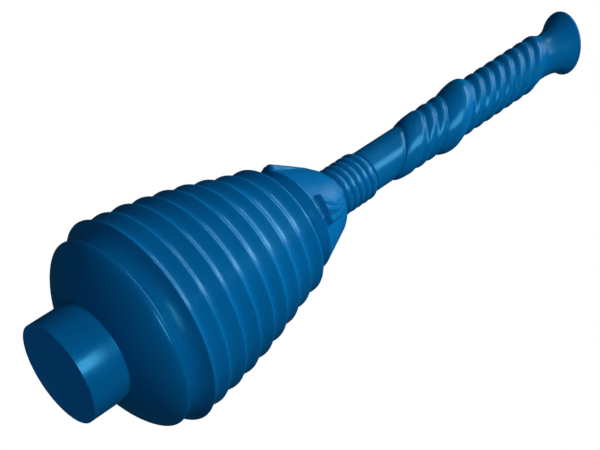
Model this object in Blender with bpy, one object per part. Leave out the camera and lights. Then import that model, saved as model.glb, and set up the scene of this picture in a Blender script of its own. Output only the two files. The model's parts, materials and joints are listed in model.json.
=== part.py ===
"""Bellows toilet plunger, standing upright on its outlet nozzle.

Frame: metres, +Z up along the tool's axis. The origin is the centre of the nozzle's mouth, on the floor.
The front is -Y. The head is three solids, nozzle, bellows and shoulder, split where it flexes; the
handle's spigot passes through the ribbed neck and the shoulder's collar and snaps under the collar.
"""

import math

import bmesh
import bpy
from mathutils import Vector

MM = 0.001

# Head: outlet nozzle, rounded base and folds
WALL = 2.2 * MM
GAP = 0.3 * MM  # between pieces that touch
NOZZLE_RADIUS = 33.7 * MM
NOZZLE_HEIGHT = 27.8 * MM
BASE_EDGE_RADIUS = 64.0 * MM
BASE_EDGE_HEIGHT = 46.2 * MM
BASE_CURVE = 1.35  # 1 is a straight cone, 2 a quarter ellipse
FOLD_CREST_RADII = [r * MM for r in (70.0, 67.4, 65.6, 63.1, 60.2, 56.7, 52.6, 48.3, 45.0)]
FIRST_CREST_HEIGHT = 60.5 * MM
FOLD_PITCH = 14.18 * MM
FOLD_DEPTH = 3.4 * MM
FOLD_VALLEY_AT = 0.3  # share of the way from one crest to the next
LOWER_SEAM = (61.8 * MM, 48.4 * MM)  # radius and height of the groove above the base edge
UPPER_SEAM = (35.2 * MM, 179.4 * MM)  # the groove under the shoulder

# Shoulder: cone, collar and the fans of three fingers moulded on it
SHOULDER_EDGE = (36.9 * MM, 188.5 * MM)
SHOULDER_TOP = (24.6 * MM, 215.6 * MM)
RIM_RADIUS = 20.6 * MM
COLLAR_TOP = 220.3 * MM
COLLAR_BOTTOM = 213.8 * MM
FAN_AZIMUTHS = (9.0, -87.0, 141.0)  # of the middle fingers' tips, in degrees from the front, towards +X
FINGERS_PER_FAN = 3
FINGER_SPREAD = 12.0  # degrees between two fingers at their tips
FINGER_CLOSE_UP = 0.58  # how much of that is left at the collar
FINGER_TURN = 12.0  # degrees from the tips to the collar
FINGER_WIDTHS = (6.8 * MM, 3.0 * MM)  # at the tip and at the collar
FINGER_HEIGHTS = (4.8 * MM, 1.4 * MM)
FINGER_ENDS = (192.4 * MM, 214.6 * MM)

# Ribbed neck
NECK_BORE = 12.5 * MM
NECK_FLANGE_RADIUS = 19.2 * MM
NECK_FLANGE_TOP = 223.4 * MM
NECK_RIBS = 5
FIRST_RIB = 228.4 * MM
RIB_PITCH = 5.75 * MM
RIB_RADIUS = 17.3 * MM
RIB_ROOT_RADIUS = 15.9 * MM
NECK_TOP = 255.8 * MM

# Handle, along its axis
SPIGOT_RADIUS = NECK_BORE - GAP
SPIGOT_END = 204.0 * MM
SNAP_BEAD_RADIUS = 14.4 * MM
HANDLE_WALL = 2.0 * MM
SHAFT_RADIUS = 15.15 * MM
SHAFT_TOP = 291.0 * MM
LOWER_RINGS = (3, 304.0 * MM, 11.35 * MM, 17.9 * MM, 16.8 * MM)  # count, first crest, pitch, crest and root
PALM_SWELL = (347.2 * MM, 20.9 * MM)  # height and radius
UPPER_RINGS = (7, 366.8 * MM, 11.2 * MM, 17.6 * MM, 16.4 * MM)
WAIST_RADIUS = 14.4 * MM
HANDLE_TOP = 447.0 * MM
GRIP_LEAN = 0.80  # the grip's rings drop this much for each metre towards +X
LEAN_START, LEAN_FULL = 258 * MM, 290 * MM

# Flared end
FLARE_RADIUS = 22.2 * MM
FLARE_RIM_HEIGHT = 475.6 * MM
FLARE_LEAN = 0.42
FLARE_DOME = 3.6 * MM
PLUG_LENGTH = 13 * MM

HEAD_SIDES = 40
HANDLE_SIDES = 28


def mix(a, b, share):
    return a + (b - a) * share


def ease(x, start, end):
    """0 before start, 1 after end, and a smooth ramp between."""
    share = min(max((x - start) / (end - start), 0), 1)
    return share * share * (3 - 2 * share)


def clear_scene():
    for obj in list(bpy.data.objects):
        bpy.data.objects.remove(obj, do_unlink=True)


def plastic(name, colour, roughness):
    material = bpy.data.materials.new(name)
    material.use_nodes = True
    shader = material.node_tree.nodes["Principled BSDF"]
    shader.inputs["Base Color"].default_value = (*colour, 1)
    shader.inputs["Roughness"].default_value = roughness
    shader.inputs["Metallic"].default_value = 0
    return material


def new_object(name, mesh, material, parent):
    mesh.materials.append(material)
    obj = bpy.data.objects.new(name, mesh)
    bpy.context.scene.collection.objects.link(obj)
    obj.parent = parent
    return obj


def turned_mesh(name, outline, sides):
    """The solid that a closed outline of (radius, height) points makes when it is spun round Z.

    Points at radius 0 close the solid on the axis.
    """
    shape = bmesh.new()
    points = [shape.verts.new((radius, 0, height)) for radius, height in outline]
    on_axis = [radius == 0 for radius, _ in outline]
    edges = [
        shape.edges.new((points[i - 1], points[i]))
        for i in range(len(points))
        if not (on_axis[i - 1] and on_axis[i])
    ]
    bmesh.ops.spin(
        shape,
        geom=points + edges,
        cent=(0, 0, 0),
        axis=(0, 0, 1),
        angle=2 * math.pi,
        steps=sides,
        use_merge=True,
    )
    bmesh.ops.remove_doubles(shape, verts=shape.verts, dist=0.00001)
    bmesh.ops.recalc_face_normals(shape, faces=shape.faces)
    mesh = bpy.data.meshes.new(name)
    shape.to_mesh(mesh)
    shape.free()
    mesh.shade_smooth()
    mesh.set_sharp_from_angle(angle=math.radians(40))
    return mesh


def inside(outline, wall):
    """The same points moved in by the wall, in the opposite order."""
    return [(radius - wall, height) for radius, height in reversed(outline)]


def base_outline():
    """The nozzle's outer side from its mouth to the groove above the base's edge."""
    rise = BASE_EDGE_HEIGHT - NOZZLE_HEIGHT
    outline = [(NOZZLE_RADIUS, 0), (NOZZLE_RADIUS, NOZZLE_HEIGHT - 1.5 * MM)]
    for share in (0.05, 0.25, 0.5, 0.72, 0.88, 0.97, 1.0):
        height = 1 - (1 - share**BASE_CURVE) ** (1 / BASE_CURVE)
        radius = mix(NOZZLE_RADIUS, BASE_EDGE_RADIUS, share)
        outline.append((radius, NOZZLE_HEIGHT + rise * height))
    return outline + [(LOWER_SEAM[0], LOWER_SEAM[1] - GAP / 2)]


def make_nozzle(parent, material):
    outer = base_outline()
    mouth_lip = [(NOZZLE_RADIUS - WALL, 0)]
    dome = [(radius - WALL, height + 0.6 * WALL) for radius, height in outer[2:-2]]
    top = [(LOWER_SEAM[0] - WALL, LOWER_SEAM[1] - GAP / 2)]
    bore_end = [(NOZZLE_RADIUS - WALL, NOZZLE_HEIGHT + 0.3 * WALL)]
    outline = outer + top + list(reversed(dome)) + bore_end + mouth_lip
    mesh = turned_mesh("nozzle", outline, HEAD_SIDES)
    return new_object("nozzle", mesh, material, parent)


def folds_outline():
    outline = [(LOWER_SEAM[0], LOWER_SEAM[1] + GAP / 2)]
    first = FOLD_CREST_RADII[0]
    flare = FIRST_CREST_HEIGHT - LOWER_SEAM[1]
    for share in (0.45, 0.8):
        outline.append((mix(LOWER_SEAM[0], first, share**1.3), LOWER_SEAM[1] + flare * share))
    for i, radius in enumerate(FOLD_CREST_RADII):
        height = FIRST_CREST_HEIGHT + i * FOLD_PITCH
        outline.append((radius, height))
        if i + 1 < len(FOLD_CREST_RADII):
            for share in (0.18, 0.42):
                chord = mix(radius, FOLD_CREST_RADII[i + 1], share)
                dip = FOLD_DEPTH * math.sin(math.pi * share ** (math.log(0.5) / math.log(FOLD_VALLEY_AT)))
                outline.append((chord - dip, height + share * FOLD_PITCH))
    return outline + [(UPPER_SEAM[0], UPPER_SEAM[1] - GAP / 2)]


def make_bellows(parent, material):
    outer = folds_outline()
    mesh = turned_mesh("bellows", outer + inside(outer, WALL), HEAD_SIDES)
    return new_object("bellows", mesh, material, parent)


def cone_radius(height):
    share = (height - SHOULDER_EDGE[1]) / (SHOULDER_TOP[1] - SHOULDER_EDGE[1])
    return mix(SHOULDER_EDGE[0], SHOULDER_TOP[0], share)


def make_finger(azimuth, offset):
    """A closed wedge that starts under the cone's skin and stands proud of it."""
    corners = []
    for end, height in enumerate(FINGER_ENDS):
        turn = math.radians(azimuth + end * FINGER_TURN + offset * (1, FINGER_CLOSE_UP)[end])
        out = Vector((math.sin(turn), -math.cos(turn), 0))
        across = Vector((math.cos(turn), math.sin(turn), 0))
        half = FINGER_WIDTHS[end] / 2
        base = cone_radius(height)
        levels = ((-1.4 * MM, 1.0), (FINGER_HEIGHTS[end] - 1.0 * MM, 0.92), (FINGER_HEIGHTS[end], 0.6))
        for proud, width in levels:
            for side in (-1, 1):
                corners.append(out * (base + proud) + across * side * half * width + Vector((0, 0, height)))
    shape = bmesh.new()
    for corner in corners:
        shape.verts.new(corner)
    bmesh.ops.convex_hull(shape, input=shape.verts)
    bmesh.ops.recalc_face_normals(shape, faces=shape.faces)
    mesh = bpy.data.meshes.new("finger_guide")
    shape.to_mesh(mesh)
    shape.free()
    return mesh


def make_shoulder(parent, material):
    seam_radius, seam_height = UPPER_SEAM[0], UPPER_SEAM[1] + GAP / 2
    outer = [
        (seam_radius, seam_height),
        (mix(seam_radius, SHOULDER_EDGE[0], 0.35), seam_height + 5 * MM),
        SHOULDER_EDGE,
        SHOULDER_TOP,
        (RIM_RADIUS + 1.9 * MM, COLLAR_TOP - 1.9 * MM),
        (RIM_RADIUS, COLLAR_TOP),
    ]
    inner = [
        (NECK_BORE, COLLAR_TOP),
        (NECK_BORE, COLLAR_BOTTOM),
        (SHOULDER_TOP[0] - 2 * WALL, COLLAR_BOTTOM),
        (SHOULDER_EDGE[0] - WALL, SHOULDER_EDGE[1] - 1.2 * MM),
        (seam_radius - WALL, seam_height),
    ]
    mesh = turned_mesh("shoulder", outer + inner, HEAD_SIDES)
    shoulder = new_object("shoulder", mesh, material, parent)
    middle = (FINGERS_PER_FAN - 1) / 2
    for azimuth in FAN_AZIMUTHS:
        for i in range(FINGERS_PER_FAN):
            finger = bpy.data.objects.new("finger_guide", make_finger(azimuth, (i - middle) * FINGER_SPREAD))
            bpy.context.scene.collection.objects.link(finger)
            finger.parent = parent
            finger.hide_render = True
            finger.display_type = "WIRE"
            union = shoulder.modifiers.new("finger", "BOOLEAN")
            union.operation = "UNION"
            union.object = finger
    return shoulder


def make_ribbed_neck(parent, material):
    bottom = COLLAR_TOP + GAP
    outline = [
        (NECK_BORE, bottom),
        (NECK_FLANGE_RADIUS, bottom),
        (NECK_FLANGE_RADIUS, NECK_FLANGE_TOP - 0.5 * MM),
        (NECK_FLANGE_RADIUS - 0.8 * MM, NECK_FLANGE_TOP),
        (RIB_ROOT_RADIUS, NECK_FLANGE_TOP + 1.4 * MM),
    ]
    for i in range(NECK_RIBS):
        middle = FIRST_RIB + i * RIB_PITCH
        outline += [(RIB_RADIUS, middle - 0.9 * MM), (RIB_RADIUS, middle + 0.9 * MM)]
        if i + 1 < NECK_RIBS:
            outline.append((RIB_ROOT_RADIUS, middle + RIB_PITCH / 2))
    outline += [(RIB_ROOT_RADIUS, NECK_TOP - 1.4 * MM), (RIB_ROOT_RADIUS - 1.2 * MM, NECK_TOP), (NECK_BORE, NECK_TOP)]
    mesh = turned_mesh("ribbed_neck", outline, HANDLE_SIDES)
    return new_object("ribbed_neck", mesh, material, parent)


def lean_at(height):
    """The slope towards +X of the handle's cross-sections at this height along its axis."""
    grip = GRIP_LEAN * ease(height, LEAN_START, LEAN_FULL)
    return mix(grip, FLARE_LEAN, ease(height, HANDLE_TOP - 10 * MM, FLARE_RIM_HEIGHT - 4 * MM))


def lean(mesh):
    """Tips every cross-section as lean_at says, so that the rings cross the handle at a slant."""
    for vertex in mesh.vertices:
        vertex.co.z -= lean_at(vertex.co.z) * vertex.co.x


def rings_outline(rings):
    """Four points for each ring: its crest, its root and one on each side between them."""
    count, first, pitch, crest, root = rings
    middle = (crest + root) / 2
    outline = []
    for i in range(count):
        height = first + i * pitch
        outline += [(middle, height - pitch / 4), (crest, height), (middle, height + pitch / 4)]
        if i + 1 < count:
            outline.append((root, height + pitch / 2))
    return outline


def handle_outline():
    bead = COLLAR_BOTTOM - GAP
    outline = [
        (SPIGOT_RADIUS - 1.2 * MM, SPIGOT_END),
        (SNAP_BEAD_RADIUS, bead - 4 * MM),
        (SNAP_BEAD_RADIUS, bead),
        (SPIGOT_RADIUS, bead),
        (SPIGOT_RADIUS, NECK_TOP + GAP),
        (SHAFT_RADIUS - 1.0 * MM, NECK_TOP + GAP),
        (SHAFT_RADIUS, NECK_TOP + 1.3 * MM),
        (SHAFT_RADIUS, LEAN_START),
        (SHAFT_RADIUS, (LEAN_START + LEAN_FULL) / 2),
        (SHAFT_RADIUS, SHAFT_TOP),
    ]
    swell_height, swell_radius = PALM_SWELL
    lower_root, upper_root = LOWER_RINGS[4], UPPER_RINGS[4]
    outline += rings_outline(LOWER_RINGS)
    outline += [
        (lower_root + 0.3 * MM, swell_height - 15 * MM),
        (swell_radius - 1.3 * MM, swell_height - 7 * MM),
        (swell_radius, swell_height),
        (swell_radius - 1.5 * MM, swell_height + 7 * MM),
        (upper_root + 0.2 * MM, swell_height + 13.5 * MM),
    ]
    outline += rings_outline(UPPER_RINGS)
    return outline + [(WAIST_RADIUS + 0.5 * MM, HANDLE_TOP - 5 * MM), (WAIST_RADIUS, HANDLE_TOP - GAP / 2)]


def bore_outline():
    """The handle's inside, from its top down: a plain bore, wider through the palm swell."""
    plug_bore = WAIST_RADIUS - HANDLE_WALL
    grip_bore = UPPER_RINGS[4] - HANDLE_WALL
    shaft_bore = SHAFT_RADIUS - HANDLE_WALL
    spigot_bore = SPIGOT_RADIUS - HANDLE_WALL
    return [
        (plug_bore, HANDLE_TOP - GAP / 2),
        (plug_bore, HANDLE_TOP - 16 * MM),
        (grip_bore, HANDLE_TOP - 22 * MM),
        (grip_bore, PALM_SWELL[0] + 12 * MM),
        (PALM_SWELL[1] - 1.5 * HANDLE_WALL, PALM_SWELL[0]),
        (grip_bore, PALM_SWELL[0] - 12 * MM),
        (grip_bore, LOWER_RINGS[1]),
        (shaft_bore, SHAFT_TOP),
        (shaft_bore, LEAN_START),
        (shaft_bore, NECK_TOP + GAP + 2 * MM),
        (spigot_bore, NECK_TOP - 2 * MM),
        (spigot_bore, SPIGOT_END),
    ]


def make_handle(parent, material):
    mesh = turned_mesh("handle", handle_outline() + bore_outline(), HANDLE_SIDES)
    lean(mesh)
    return new_object("handle", mesh, material, parent)


def make_flared_end(parent, material):
    bottom = HANDLE_TOP + GAP / 2
    rise = FLARE_RIM_HEIGHT - 1.6 * MM - bottom
    plug = WAIST_RADIUS - HANDLE_WALL - GAP
    hollow = plug - HANDLE_WALL
    outline = [(hollow, HANDLE_TOP - PLUG_LENGTH), (plug, HANDLE_TOP - PLUG_LENGTH), (plug, bottom)]
    outline.append((WAIST_RADIUS, bottom))
    for share in (0.3, 0.55, 0.75, 0.9, 1.0):
        outline.append((mix(WAIST_RADIUS, FLARE_RADIUS - 0.3 * MM, share**2.6), bottom + share * rise))
    outline += [
        (FLARE_RADIUS, FLARE_RIM_HEIGHT),
        (FLARE_RADIUS - 1.2 * MM, FLARE_RIM_HEIGHT + 1.6 * MM),
        (FLARE_RADIUS * 0.55, FLARE_RIM_HEIGHT + 0.8 * FLARE_DOME),
        (0, FLARE_RIM_HEIGHT + FLARE_DOME),
        (0, FLARE_RIM_HEIGHT + FLARE_DOME - 2 * WALL),
        (hollow, FLARE_RIM_HEIGHT - 1.5 * WALL),
    ]
    mesh = turned_mesh("flared_end", outline, HANDLE_SIDES)
    lean(mesh)
    return new_object("flared_end", mesh, material, parent)


def make_body(name, location):
    """An empty that carries one moving body; its pieces keep their places in the upright frame."""
    empty = bpy.data.objects.new(name, None)
    empty.location = location
    bpy.context.scene.collection.objects.link(empty)
    return empty


def seat(obj, body):
    """Counters the body's own place, so that a mesh modelled about the origin stays where it is."""
    obj.location = -body.location


def main():
    clear_scene()
    base_body = make_body("base_body", Vector((0, 0, 0)))
    stroke_body = make_body("stroke_body", Vector((0, 0, UPPER_SEAM[1])))
    bottom_blue = plastic("base_blue", (0.006, 0.085, 0.19), 0.34)
    fold_blue = plastic("fold_blue", (0.008, 0.1, 0.23), 0.36)
    top_blue = plastic("shoulder_blue", (0.01, 0.11, 0.25), 0.34)
    neck_blue = plastic("neck_blue", (0.009, 0.105, 0.24), 0.33)
    grip_blue = plastic("handle_blue", (0.01, 0.11, 0.25), 0.32)
    end_blue = plastic("end_blue", (0.009, 0.1, 0.235), 0.33)
    make_nozzle(base_body, bottom_blue)
    make_bellows(base_body, fold_blue)
    for make, material in (
        (make_shoulder, top_blue),
        (make_ribbed_neck, neck_blue),
        (make_handle, grip_blue),
        (make_flared_end, end_blue),
    ):
        seat(make(stroke_body, material), stroke_body)
    for guide in [obj for obj in stroke_body.children if obj.hide_render]:
        seat(guide, stroke_body)


main()
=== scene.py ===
"""Looks of the bellows toilet plunger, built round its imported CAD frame.

Metres, +Z up along the tool's axis, with the nozzle's mouth at the origin and the front at -Y.
Azimuths are degrees from the front, towards +X. Every visible piece is a turned surface, and what
isn't round about the axis, such as the slanted rings and the shoulder's fingers, is a formula that
moves its points.
"""

import json
import math

import bpy
import numpy as np
from mathutils import Matrix, Vector

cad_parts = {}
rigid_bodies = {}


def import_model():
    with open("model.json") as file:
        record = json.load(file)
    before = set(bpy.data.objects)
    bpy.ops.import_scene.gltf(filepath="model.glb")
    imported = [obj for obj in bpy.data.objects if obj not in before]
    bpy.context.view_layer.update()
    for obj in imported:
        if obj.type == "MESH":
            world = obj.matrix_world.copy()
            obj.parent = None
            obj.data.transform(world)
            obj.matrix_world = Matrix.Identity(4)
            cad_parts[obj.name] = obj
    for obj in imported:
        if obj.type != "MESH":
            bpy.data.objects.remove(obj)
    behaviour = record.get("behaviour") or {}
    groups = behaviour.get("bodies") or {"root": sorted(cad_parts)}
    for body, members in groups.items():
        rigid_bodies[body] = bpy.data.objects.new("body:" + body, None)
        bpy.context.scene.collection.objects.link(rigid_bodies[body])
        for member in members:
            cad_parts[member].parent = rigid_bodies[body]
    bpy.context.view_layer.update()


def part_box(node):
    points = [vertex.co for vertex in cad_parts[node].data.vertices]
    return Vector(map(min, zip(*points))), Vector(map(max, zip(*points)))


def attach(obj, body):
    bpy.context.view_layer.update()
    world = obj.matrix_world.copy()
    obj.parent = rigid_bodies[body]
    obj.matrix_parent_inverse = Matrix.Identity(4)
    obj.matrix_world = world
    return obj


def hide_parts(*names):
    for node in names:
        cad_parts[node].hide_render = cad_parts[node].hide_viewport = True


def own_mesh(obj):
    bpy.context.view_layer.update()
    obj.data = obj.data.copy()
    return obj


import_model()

MM = 0.001
PLAY = 0.3 * MM  # clearance between the pieces above the head

# Heights of the seams between the pieces, from the CAD nodes
BASE_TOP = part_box("nozzle")[1].z
BELLOWS_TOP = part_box("bellows")[1].z
SHOULDER_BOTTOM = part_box("shoulder")[0].z
COLLAR_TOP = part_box("shoulder")[1].z
NECK_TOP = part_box("ribbed_neck")[1].z
SPIGOT_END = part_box("handle")[0].z
LOWER_SEAM = (BASE_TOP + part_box("bellows")[0].z) / 2
UPPER_SEAM = (BELLOWS_TOP + SHOULDER_BOTTOM) / 2

# Head
NOZZLE_RADIUS = 33.7 * MM
NOZZLE_HEIGHT = 27.4 * MM
LIP_WALL = 1.5 * MM
HEAD_WALL = 2.0 * MM
BASE_EDGE = (64.2 * MM, 44.8 * MM)
EDGE_ROUNDING = 4.5 * MM
BASE_CURVE = 1.35  # how full the base's dome is
LOWER_SEAM_RADIUS = 62.0 * MM
FIRST_CREST = (70.0 * MM, 60.5 * MM)
FIRST_RISE_CURVE = 2.0
FOLD_CREST_RADII = [r * MM for r in (70.0, 67.4, 65.6, 63.1, 60.2, 56.7, 52.6, 48.3, 45.0)]
FOLD_PITCH = 14.18 * MM
FOLD_DEPTH = 2.9 * MM
FOLD_VALLEY_AT = 0.25  # share of the way from one crest to the next
CREST_ROUNDING = 1.2 * MM
ROUNDING_LOSS = 0.6 * MM  # what the rounding takes off a crest
UPPER_SEAM_RADIUS = 35.2 * MM
SEAM_GAP = 0.05 * MM  # keeps the bellows clear of the shoulder at every stroke
SHOULDER_EDGE = (36.9 * MM, 188.5 * MM)
SHOULDER_TOP = (24.8 * MM, 215.4 * MM)
RIM_RADIUS = 21.0 * MM
COLLAR_DEPTH = 6.5 * MM

# Fans of three overlapping fingers on the shoulder. Four lines bound the fingers, each given by
# its azimuth at the tips and how far it turns on the way up
FANS = (0.0, -96.0, 132.0)
FINGER_LINES = ((-8.5, 21.0), (3.5, 14.0), (15.0, 10.0), (28.0, 6.0))
FINGER_TURN = (191.5 * MM, 211.5 * MM)
FINGER_TIPS = (191.0 * MM, 190.2 * MM, 189.0 * MM)
TIP_SLOPE = 4.6 * MM
FINGER_RISE = 5.6 * MM  # at the tips, falling to nothing at FINGER_TOP
FINGER_TOP = 218.5 * MM
# Degrees before and after a finger's far line, over which its far side falls away
FINGER_FALLS = ((3.5, 7.0), (5.0, 2.5), (7.0, 1.0))

# Ribbed neck
NECK_FLANGE_RADIUS = 19.4 * MM
NECK_ROOT_RADIUS = 17.0 * MM
NECK_RIBS = 5
FIRST_RIB = 228.4 * MM
RIB_PITCH = 5.75 * MM
RIB_RADIUS = 17.3 * MM
RIB_GROOVE = 1.35 * MM
RIB_ROUNDNESS = 0.55  # 1 for a plain wave, less for narrow grooves between full ribs
NECK_BORE = 12.5 * MM

# Handle
SHAFT_RADIUS = 15.15 * MM
HANDLE_WALL = 2.0 * MM
GRIP_START = 290.0 * MM
# Rows of rings: how many, the first crest's height, pitch, radius at the crests and depth
LOWER_RINGS = (3, 304.2 * MM, 11.3 * MM, 17.9 * MM, 1.25 * MM)
UPPER_RINGS = (7, 367.0 * MM, 11.15 * MM, 17.75 * MM, 1.4 * MM)
RING_POINTS = 16  # of the outline, for each ring
RING_ROUNDNESS = 1.4  # 1 for a plain wave, more for narrow grooves between full rings
PALM_ROOT = 17.0 * MM
PALM_SWELL = (348.0 * MM, 20.7 * MM)
PALM_REACH = (15.5 * MM, 10.5 * MM)  # below and above its fullest height
WAIST_RADIUS = 14.4 * MM
HANDLE_TOP = 447.0 * MM
GRIP_LEAN = 0.8  # how far the rings drop for each unit towards +X
LEAN_START, LEAN_FULL = 258 * MM, 290 * MM
FLARE_RADIUS = 22.2 * MM
FLARE_RIM_HEIGHT = 475.6 * MM
FLARE_CURVE = 2.6
FLARE_LEAN = 0.42

# Faces round the axis
HEAD_SIDES = 256
SHOULDER_SIDES = 540
HANDLE_SIDES = 224
SMALL_SIDES = 192
SHARP_ANGLE = 50  # degrees

BLUE = (0.0006, 0.125, 0.34)
GLOSS_TINT = (0.14, 0.75, 1.0)
INNER_PAINTED_SHADE = 0.35  # share of the blue kept on the head's inner faces: painted shade, darkening them as the shade inside the head would
INNER_PAINTED_GLOW = (0.0009, 0.021, 0.066)  # painted light: a faint glow on the head's inner faces, in place of light coming through the head's walls

# The camera, in front of the mouth and below it, as the photo was taken
LENS = 81.9
CAMERA_RIGHT = Vector((0.55339, -0.42960, 0.71359))
CAMERA_UP = Vector((-0.83292, -0.28542, 0.47411))
CAMERA_PLACE = Vector((0.0061, -0.7650, -0.2675))
CAMERA_NUDGE = -0.34 * MM, 0.52 * MM  # from there, along its right and its up


# ---------------------------------------------------------------- curves


def ease(x, start, end):
    """0 before start, 1 after end, and a smooth ramp between."""
    share = np.clip((x - start) / (end - start), 0, 1)
    return share * share * (3 - 2 * share)


def mix(a, b, share):
    return a + (b - a) * share


def even(points, spacing):
    """The polyline through these points, with its points at even distances."""
    points = np.asarray(points, float)
    steps = np.linalg.norm(np.diff(points, axis=0), axis=1)
    along = np.concatenate([[0], np.cumsum(steps)])
    at = np.linspace(0, along[-1], max(2, round(along[-1] / spacing)) + 1)
    return np.column_stack([np.interp(at, along, points[:, i]) for i in (0, 1)])


def rounded(points, radius, spacing=0.4 * MM):
    """The same line with every corner softened to about this radius."""
    line = even(points, spacing)
    for _ in range(round((1.6 * radius / spacing) ** 2 / 2)):
        line[1:-1] = (line[:-2] + 2 * line[1:-1] + line[2:]) / 4
    return line


# ---------------------------------------------------------------- meshes


def turned(name, outline, sides, shape=None):
    """Spins a closed outline of (radius, height), up its outer side and down its inner one."""
    outline = np.asarray(outline, float)
    count = len(outline)
    angles = np.linspace(0, 2 * math.pi, sides, endpoint=False)
    points = np.zeros((sides, count, 3))
    points[:, :, 0] = outline[:, 0] * np.cos(angles)[:, None]
    points[:, :, 1] = outline[:, 0] * np.sin(angles)[:, None]
    points[:, :, 2] = outline[:, 1]
    if shape:
        points = shape(points, outline)
    i, j = np.meshgrid(np.arange(count), np.arange(sides))
    next_i, next_j = (i + 1) % count, (j + 1) % sides
    corners = [j * count + i, next_j * count + i, next_j * count + next_i, j * count + next_i]
    quads = np.stack(corners, -1).reshape(-1, 4)
    mesh = bpy.data.meshes.new(name)
    mesh.from_pydata(points.reshape(-1, 3).tolist(), [], quads.tolist())
    mesh.validate()
    mesh.shade_smooth()
    mesh.set_sharp_from_angle(angle=math.radians(SHARP_ANGLE))
    obj = bpy.data.objects.new(name, mesh)
    bpy.context.scene.collection.objects.link(obj)
    return obj


def paint_inside(obj, material, outer_count, count):
    """Gives this material to the faces past the outer_count points of the outline's outer side."""
    obj.data.materials.append(material)
    index = np.zeros(len(obj.data.polygons), np.int32)
    index[np.arange(len(index)) % count >= outer_count - 1] = 1
    obj.data.polygons.foreach_set("material_index", index)


def piece(obj, body, node, material):
    """Puts a piece on its body, in the place of its CAD node."""
    obj.data.materials.append(material)
    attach(obj, body)
    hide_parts(node)
    return obj


def base_outline():
    """The nozzle's tube and the dome that widens from it, up to the base's edge."""
    height = np.linspace(0, 1, 60)
    share = np.sin(height * math.pi / 2)
    rise = 1 - (1 - share**BASE_CURVE) ** (1 / BASE_CURVE)
    dome = np.column_stack([
        mix(NOZZLE_RADIUS, BASE_EDGE[0], share),
        mix(NOZZLE_HEIGHT, BASE_EDGE[1], rise),
    ])
    return np.vstack([[(NOZZLE_RADIUS, 0), (NOZZLE_RADIUS, NOZZLE_HEIGHT - 1 * MM)], dome])


def make_nozzle(material, inside):
    outer = base_outline()
    turn = np.radians(np.arange(10, 65, 5))
    edge = np.column_stack([
        BASE_EDGE[0] - EDGE_ROUNDING * (1 - np.cos(turn)),
        BASE_EDGE[1] + EDGE_ROUNDING * np.sin(turn),
    ])
    side = np.vstack([outer, edge, [(LOWER_SEAM_RADIUS, LOWER_SEAM)]])
    side = rounded(side, 0.6 * MM, 0.25 * MM)
    inner = [
        (LOWER_SEAM_RADIUS - HEAD_WALL, LOWER_SEAM),
        *[(r - HEAD_WALL, z + 0.6 * HEAD_WALL) for r, z in outer[-3:3:-3]],
        (NOZZLE_RADIUS - HEAD_WALL, NOZZLE_HEIGHT + 1 * MM),
        (NOZZLE_RADIUS - HEAD_WALL, 6 * MM),
        (NOZZLE_RADIUS - LIP_WALL, 0.8 * MM),
    ]
    lip = [(NOZZLE_RADIUS - 0.65 * LIP_WALL, 0), (NOZZLE_RADIUS - 0.35 * LIP_WALL, 0)]
    side[0] = (NOZZLE_RADIUS, 0.5 * MM)
    outline = np.vstack([side, inner, lip])
    obj = piece(turned("nozzle_shell", outline, HEAD_SIDES), "base", "nozzle", material)
    paint_inside(obj, inside, len(side), len(outline))
    return obj


def folds_outline():
    """The bellows' outer side: past each crest a steep drop, a valley and a gentle rise."""
    skew = math.log(0.5) / math.log(FOLD_VALLEY_AT)
    points = [(LOWER_SEAM_RADIUS, LOWER_SEAM)]
    for share in np.linspace(0.1, 0.9, 9):
        radius = mix(LOWER_SEAM_RADIUS, FIRST_CREST[0] + ROUNDING_LOSS, share**FIRST_RISE_CURVE)
        points.append((radius, mix(LOWER_SEAM, FIRST_CREST[1], share)))
    for i, radius in enumerate(FOLD_CREST_RADII):
        height = FIRST_CREST[1] + i * FOLD_PITCH
        points.append((radius + ROUNDING_LOSS, height))
        if i + 1 < len(FOLD_CREST_RADII):
            for share in np.linspace(0.04, 0.96, 24):
                chord = mix(radius, FOLD_CREST_RADII[i + 1], share) + ROUNDING_LOSS
                dip = FOLD_DEPTH * math.sin(math.pi * share**skew)
                points.append((chord - dip, height + share * FOLD_PITCH))
    return points + [(UPPER_SEAM_RADIUS, UPPER_SEAM - SEAM_GAP)]


def make_bellows(material, inside):
    outer = rounded(folds_outline(), CREST_ROUNDING)
    inner = outer[::-4] - [HEAD_WALL, 0]
    obj = turned("bellows_folds", np.vstack([outer, inner]), HEAD_SIDES)
    piece(obj, "base", "bellows", material)
    paint_inside(obj, inside, len(outer), len(outer) + len(inner))
    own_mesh(obj)
    return obj


def fingers(azimuth, height):
    """How far the fans of fingers stand proud of the cone at these azimuths and heights."""
    turn = ease(height, *FINGER_TURN)
    lines = [tip + turned_by * turn for tip, turned_by in FINGER_LINES]
    proud = np.zeros_like(azimuth)
    for fan in FANS:
        # From -170 to 190 degrees, so that no finger crosses the break
        off = (azimuth - fan - 10 + 180) % 360 - 170
        for i, tip in enumerate(FINGER_TIPS):
            before, after = FINGER_FALLS[i]
            tall = FINGER_RISE * np.clip((FINGER_TOP - height) / (FINGER_TOP - tip), 0, 1)
            tall = tall * ease(height, tip, tip + TIP_SLOPE)
            across = ease(off, lines[i] - 0.4, lines[i] + 1.4)
            across = across * (1 - ease(off, lines[i + 1] - before, lines[i + 1] + after))
            proud = np.maximum(proud, tall * across)
    return proud


def shape_shoulder(points, outline):
    """Raises the fingers on the cone's outer side, which is the outline up to its top."""
    radius = np.hypot(points[..., 0], points[..., 1])
    azimuth = np.degrees(np.arctan2(points[..., 0], -points[..., 1]))
    outer = np.zeros(len(outline), bool)
    outer[: int(np.argmax(outline[:, 1])) + 1] = True
    proud = np.where(outer[None, :], fingers(azimuth, points[..., 2]), 0)
    points[..., :2] *= ((radius + proud) / radius)[..., None]
    return points


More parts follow.
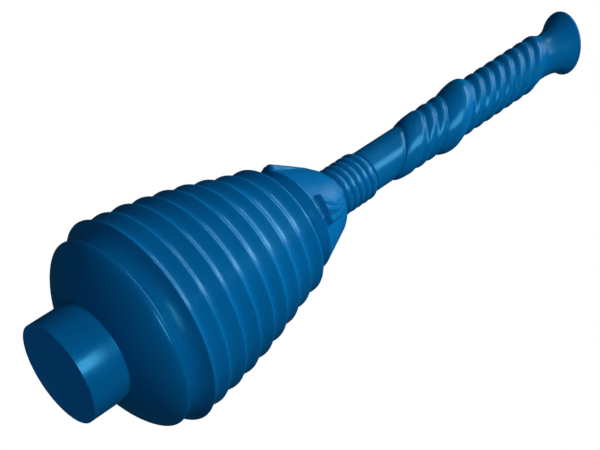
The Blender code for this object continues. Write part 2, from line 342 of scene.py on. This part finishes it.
def make_shoulder(material, inside):
    outer = rounded(
        [
            (UPPER_SEAM_RADIUS, UPPER_SEAM),
            (
                mix(UPPER_SEAM_RADIUS, SHOULDER_EDGE[0], 0.45),
                mix(UPPER_SEAM, SHOULDER_EDGE[1], 0.6),
            ),
            SHOULDER_EDGE,
            SHOULDER_TOP,
            (RIM_RADIUS + 1.2 * MM, COLLAR_TOP - 1.2 * MM),
            (RIM_RADIUS, COLLAR_TOP),
        ],
        0.7 * MM,
        0.33 * MM,
    )
    inner = [
        (NECK_BORE, COLLAR_TOP),
        (NECK_BORE, COLLAR_TOP - COLLAR_DEPTH),
        (SHOULDER_TOP[0] - 4.4 * MM, COLLAR_TOP - COLLAR_DEPTH),
        (SHOULDER_EDGE[0] - HEAD_WALL, SHOULDER_EDGE[1] - 1.2 * MM),
        (UPPER_SEAM_RADIUS - HEAD_WALL, UPPER_SEAM),
    ]
    obj = turned("shoulder_cone", np.vstack([outer, inner]), SHOULDER_SIDES, shape_shoulder)
    piece(obj, "upper", "shoulder", material)
    paint_inside(obj, inside, len(outer) + 1, len(outer) + len(inner))
    return obj


def make_ribbed_neck(material):
    bottom = COLLAR_TOP + PLAY
    last = FIRST_RIB + (NECK_RIBS - 0.5) * RIB_PITCH
    heights = np.arange(FIRST_RIB - RIB_PITCH / 2, last + 0.1 * MM, 0.2 * MM)
    phase = (heights - FIRST_RIB) / RIB_PITCH * math.pi
    ribs = RIB_RADIUS - RIB_GROOVE * (1 - np.abs(np.cos(phase)) ** RIB_ROUNDNESS)
    outer = np.vstack([
        [(NECK_FLANGE_RADIUS, bottom), (NECK_FLANGE_RADIUS, bottom + 1.2 * MM)],
        [(NECK_ROOT_RADIUS, bottom + 2.6 * MM)],
        np.column_stack([ribs, heights]),
        [(15.4 * MM, NECK_TOP - 0.8 * MM), (14.9 * MM, NECK_TOP)],
    ])
    bore = [(NECK_BORE, NECK_TOP), (NECK_BORE, bottom)]
    outline = np.vstack([rounded(outer, 0.35 * MM, 0.25 * MM), bore])
    return piece(turned("neck_ribs", outline, SMALL_SIDES), "upper", "ribbed_neck", material)


def lean_at(height):
    """How far the grip, and less so the flared end, slopes down towards +X at this height."""
    grip = GRIP_LEAN * ease(height, LEAN_START, LEAN_FULL)
    return mix(grip, FLARE_LEAN, ease(height, HANDLE_TOP - 10 * MM, FLARE_RIM_HEIGHT - 4 * MM))


def shape_lean(points, outline):
    points[..., 2] -= lean_at(points[..., 2]) * points[..., 0]
    return points


def rings(count, first, pitch, crest, depth):
    """A row of rings on the grip, with half a groove at both ends."""
    heights = np.linspace(first - pitch / 2, first + (count - 0.5) * pitch, count * RING_POINTS + 1)
    wave = np.clip((1 - np.cos((heights - first) / pitch * 2 * math.pi)) / 2, 0, 1)
    return np.column_stack([crest - depth * wave**RING_ROUNDNESS, heights])


def palm_swell():
    middle, radius = PALM_SWELL
    below, above = PALM_REACH
    heights = np.linspace(middle - below, middle + above, 40)
    reach = np.where(heights < middle, below, above)
    wave = np.clip(np.cos((heights - middle) / reach * math.pi / 2), 0, 1) ** 0.9
    return np.column_stack([mix(PALM_ROOT, radius, wave), heights])


def make_handle(material):
    spigot = NECK_BORE - PLAY
    start = NECK_TOP + PLAY
    outer = np.vstack([
        [(spigot, start), (SHAFT_RADIUS - 0.6 * MM, start), (SHAFT_RADIUS, start + 0.8 * MM)],
        [(SHAFT_RADIUS, GRIP_START - 4 * MM), (SHAFT_RADIUS - 0.5 * MM, GRIP_START - 0.8 * MM)],
        [(SHAFT_RADIUS + 1.1 * MM, GRIP_START + 0.9 * MM)],
        [(SHAFT_RADIUS + 1.9 * MM, GRIP_START + 4 * MM)],
        [(SHAFT_RADIUS + 2.4 * MM, GRIP_START + 8 * MM)],
        rings(*LOWER_RINGS)[RING_POINTS // 2 :],
        palm_swell(),
        rings(*UPPER_RINGS),
        [(WAIST_RADIUS + 0.4 * MM, HANDLE_TOP - 2 * MM), (WAIST_RADIUS, HANDLE_TOP)],
    ])
    line = rounded(outer, 0.5 * MM, 0.5 * MM)
    bore = SHAFT_RADIUS - 2.2 * MM
    inner = [
        (WAIST_RADIUS - HANDLE_WALL, HANDLE_TOP),
        (bore, HANDLE_TOP - 20 * MM),
        (bore, start + 3 * MM),
        (spigot - HANDLE_WALL, NECK_TOP - 2 * MM),
        (spigot - HANDLE_WALL, SPIGOT_END),
        (spigot, SPIGOT_END),
    ]
    obj = turned("handle_grip", np.vstack([line, inner]), HANDLE_SIDES, shape_lean)
    return piece(obj, "upper", "handle", material)


def make_flared_end(material):
    share = np.linspace(0, 1, 30)
    rim = FLARE_RIM_HEIGHT
    flare = np.column_stack([
        mix(WAIST_RADIUS, FLARE_RADIUS, share**FLARE_CURVE),
        mix(HANDLE_TOP, rim - 1.0 * MM, share),
    ])
    outer = rounded(
        np.vstack([
            flare,
            [(FLARE_RADIUS, rim + 0.6 * MM), (FLARE_RADIUS - 1.2 * MM, rim + 1.6 * MM)],
            [(FLARE_RADIUS * 0.5, rim + 3.2 * MM), (0.4 * MM, rim + 3.6 * MM)],
        ]),
        0.7 * MM,
    )
    inner = [(0.4 * MM, rim - 2 * MM), (10 * MM, rim - 6 * MM), (10 * MM, HANDLE_TOP)]
    obj = turned("flared_end_cap", np.vstack([outer, inner]), SMALL_SIDES, shape_lean)
    return piece(obj, "upper", "flared_end", material)


# ---------------------------------------------------------------- materials


def plastic(name, colour, roughness=0.25):
    """Blow-moulded polyethylene: waxy, with faint streaks, an uneven gloss and a fine ripple."""
    material = bpy.data.materials.new(name)
    material.use_nodes = True
    nodes, links = material.node_tree.nodes, material.node_tree.links
    shader = nodes["Principled BSDF"]
    place = nodes.new("ShaderNodeTexCoord")

    def noise(scale, detail, stretch=(1, 1, 1)):
        mapping = nodes.new("ShaderNodeMapping")
        mapping.inputs["Scale"].default_value = stretch
        links.new(place.outputs["Object"], mapping.inputs["Vector"])
        texture = nodes.new("ShaderNodeTexNoise")
        texture.inputs["Scale"].default_value = scale
        texture.inputs["Detail"].default_value = detail
        links.new(mapping.outputs["Vector"], texture.inputs["Vector"])
        return texture.outputs["Fac"]

    tint = nodes.new("ShaderNodeValToRGB")
    tint.color_ramp.elements[0].position = 0.3
    tint.color_ramp.elements[1].position = 0.7
    tint.color_ramp.elements[0].color = (*(0.93 * c for c in colour), 1)
    tint.color_ramp.elements[1].color = (*(1.06 * c for c in colour), 1)
    links.new(noise(28, 3, (1, 1, 0.5)), tint.inputs["Fac"])
    links.new(tint.outputs["Color"], shader.inputs["Base Color"])

    gloss = nodes.new("ShaderNodeMapRange")
    gloss.inputs["From Min"].default_value = 0.3
    gloss.inputs["From Max"].default_value = 0.7
    gloss.inputs["To Min"].default_value = roughness - 0.04
    gloss.inputs["To Max"].default_value = roughness + 0.06
    links.new(noise(60, 4), gloss.inputs["Value"])
    links.new(gloss.outputs["Result"], shader.inputs["Roughness"])

    ripple = nodes.new("ShaderNodeBump")
    ripple.inputs["Strength"].default_value = 0.05
    ripple.inputs["Distance"].default_value = 0.3 * MM
    links.new(noise(420, 2), ripple.inputs["Height"])
    links.new(ripple.outputs["Normal"], shader.inputs["Normal"])
    shader.inputs["IOR"].default_value = 1.5
    shader.inputs["Specular Tint"].default_value = (*GLOSS_TINT, 1)
    shader.inputs["Specular IOR Level"].default_value = 0.42
    return material


def inside_plastic(name, painted_glow):
    """The same plastic on the head's inner faces, darkened as painted shade and faintly glowing as
    painted light, in place of light coming through its thin walls.
    """
    material = plastic(name, [INNER_PAINTED_SHADE * c for c in BLUE], 0.5)
    shader = material.node_tree.nodes["Principled BSDF"]
    # Painted light: the inner faces glow, though they are no lamp
    shader.inputs["Emission Color"].default_value = (*painted_glow, 1)
    shader.inputs["Emission Strength"].default_value = 1
    return material


# ---------------------------------------------------------------- stage


def make_stage():
    """A pale floor, seen only from above, that fades into the white backdrop around the tool."""
    mesh = bpy.data.meshes.new("floor")
    size = 3.0
    corners = [(-size, -size, 0), (size, -size, 0), (size, size, 0), (-size, size, 0)]
    mesh.from_pydata(corners, [], [(0, 1, 2, 3)])
    floor = bpy.data.objects.new("floor", mesh)
    bpy.context.scene.collection.objects.link(floor)
    floor.location.z = -0.2 * MM
    material = bpy.data.materials.new("pale_floor")
    material.use_nodes = True
    nodes, links = material.node_tree.nodes, material.node_tree.links
    shader = nodes["Principled BSDF"]
    shader.inputs["Base Color"].default_value = (0.86, 0.86, 0.86, 1)
    shader.inputs["Roughness"].default_value = 0.7
    clear = nodes.new("ShaderNodeBsdfTransparent")
    blend = nodes.new("ShaderNodeMixShader")
    side = nodes.new("ShaderNodeNewGeometry")
    ray = nodes.new("ShaderNodeLightPath")
    seen = nodes.new("ShaderNodeMath")
    seen.operation = "SUBTRACT"
    seen.use_clamp = True
    links.new(ray.outputs["Is Camera Ray"], seen.inputs[0])
    links.new(side.outputs["Backfacing"], seen.inputs[1])
    place = nodes.new("ShaderNodeTexCoord")
    away = nodes.new("ShaderNodeVectorMath")
    away.operation = "LENGTH"
    fade = nodes.new("ShaderNodeMapRange")
    fade.interpolation_type = "SMOOTHSTEP"
    fade.inputs["From Min"].default_value = 0.15
    fade.inputs["From Max"].default_value = 0.6
    fade.inputs["To Min"].default_value = 1.0
    fade.inputs["To Max"].default_value = 0.0
    shown = nodes.new("ShaderNodeMath")
    shown.operation = "MULTIPLY"
    links.new(place.outputs["Object"], away.inputs[0])
    links.new(away.outputs["Value"], fade.inputs["Value"])
    links.new(seen.outputs[0], shown.inputs[0])
    links.new(fade.outputs["Result"], shown.inputs[1])
    links.new(shown.outputs[0], blend.inputs["Fac"])
    links.new(clear.outputs[0], blend.inputs[1])
    links.new(shader.outputs[0], blend.inputs[2])
    links.new(blend.outputs[0], nodes["Material Output"].inputs["Surface"])
    mesh.materials.append(material)


def make_world():
    """A white backdrop for the camera, and a faint blue light all round for the tool."""
    world = bpy.data.worlds.new("studio")
    bpy.context.scene.world = world
    world.use_nodes = True
    nodes, links = world.node_tree.nodes, world.node_tree.links
    seen = nodes["Background"]
    seen.inputs["Color"].default_value = (1, 1, 1, 1)
    seen.inputs["Strength"].default_value = 1.0
    lit = nodes.new("ShaderNodeBackground")
    lit.inputs["Color"].default_value = (0.1, 0.6, 1.0, 1)
    lit.inputs["Strength"].default_value = 0.07
    ray = nodes.new("ShaderNodeLightPath")
    blend = nodes.new("ShaderNodeMixShader")
    links.new(ray.outputs["Is Camera Ray"], blend.inputs["Fac"])
    links.new(lit.outputs[0], blend.inputs[1])
    links.new(seen.outputs[0], blend.inputs[2])
    links.new(blend.outputs[0], nodes["World Output"].inputs["Surface"])


def soft_light(name, azimuth, elevation, size, power, aim=200 * MM, distance=1.5):
    """A soft box this far from a point on the tool's axis, turned towards it and upright."""
    data = bpy.data.lights.new(name, "AREA")
    data.shape = "RECTANGLE"
    data.size, data.size_y = size
    data.energy = power
    light = bpy.data.objects.new(name, data)
    bpy.context.scene.collection.objects.link(light)
    turn, rise = math.radians(azimuth), math.radians(elevation)
    level = math.cos(rise)
    out = Vector((math.sin(turn) * level, -math.cos(turn) * level, math.sin(rise)))
    light.location = Vector((0, 0, aim)) + out * distance
    light.rotation_euler = out.to_track_quat("Z", "Y").to_euler()
    light.visible_camera = False
    return light


def make_lights():
    """Broad soft boxes give the shading, and smaller ones only the glints that the photo shows."""
    for light in (
        soft_light("fill_light", 12, 10, (0.3, 0.25), 11.6),
        soft_light("handle_light", 12, 25, (0.2, 0.2), 0.35, 250 * MM, 0.5),
        soft_light("top_light", 15, 90, (0.9, 0.9), 43),
        soft_light("low_light", 0, -40, (0.9, 0.9), 3.5),
        soft_light("back_light", 180, 30, (0.9, 0.9), 15),
    ):
        light.visible_glossy = False
    for light in (
        soft_light("nozzle_glint", 12, 38.8, (0.03, 0.02), 0.033, -50 * MM, 0.12),
        soft_light("shaft_glint", 10, 36, (0.06, 0.1), 0.15, 245 * MM, 0.17),
        soft_light("crest_glint", -24, 59, (1.4, 0.3), 9),
        soft_light("shoulder_glint", 0, 78, (0.4, 0.3), 0.7),
    ):
        light.visible_diffuse = False


def make_camera():
    data = bpy.data.cameras.new("camera")
    data.sensor_width = 36
    data.lens = LENS
    camera = bpy.data.objects.new("camera", data)
    bpy.context.scene.collection.objects.link(camera)
    back = CAMERA_RIGHT.cross(CAMERA_UP)
    turn = Matrix((CAMERA_RIGHT, CAMERA_UP, back)).transposed()
    place = CAMERA_PLACE + CAMERA_NUDGE[0] * CAMERA_RIGHT + CAMERA_NUDGE[1] * CAMERA_UP
    camera.matrix_world = Matrix.Translation(place) @ turn.to_4x4()
    bpy.context.scene.camera = camera


def main():
    bpy.context.scene.view_settings.view_transform = "Standard"
    blue = plastic("blue_polyethylene", BLUE)
    # The head's inner faces get painted shade and a painted glow
    inside = inside_plastic("inner_polyethylene_painted_shade_and_glow", INNER_PAINTED_GLOW)
    make_nozzle(blue, inside)
    make_bellows(blue, inside)
    make_shoulder(blue, inside)
    make_ribbed_neck(blue)
    make_handle(blue)
    make_flared_end(blue)
    make_stage()
    make_world()
    make_lights()
    make_camera()


for startup in [o for o in bpy.data.objects if o.name in ("Cube", "Light", "Camera")]:
    bpy.data.objects.remove(startup)
main()
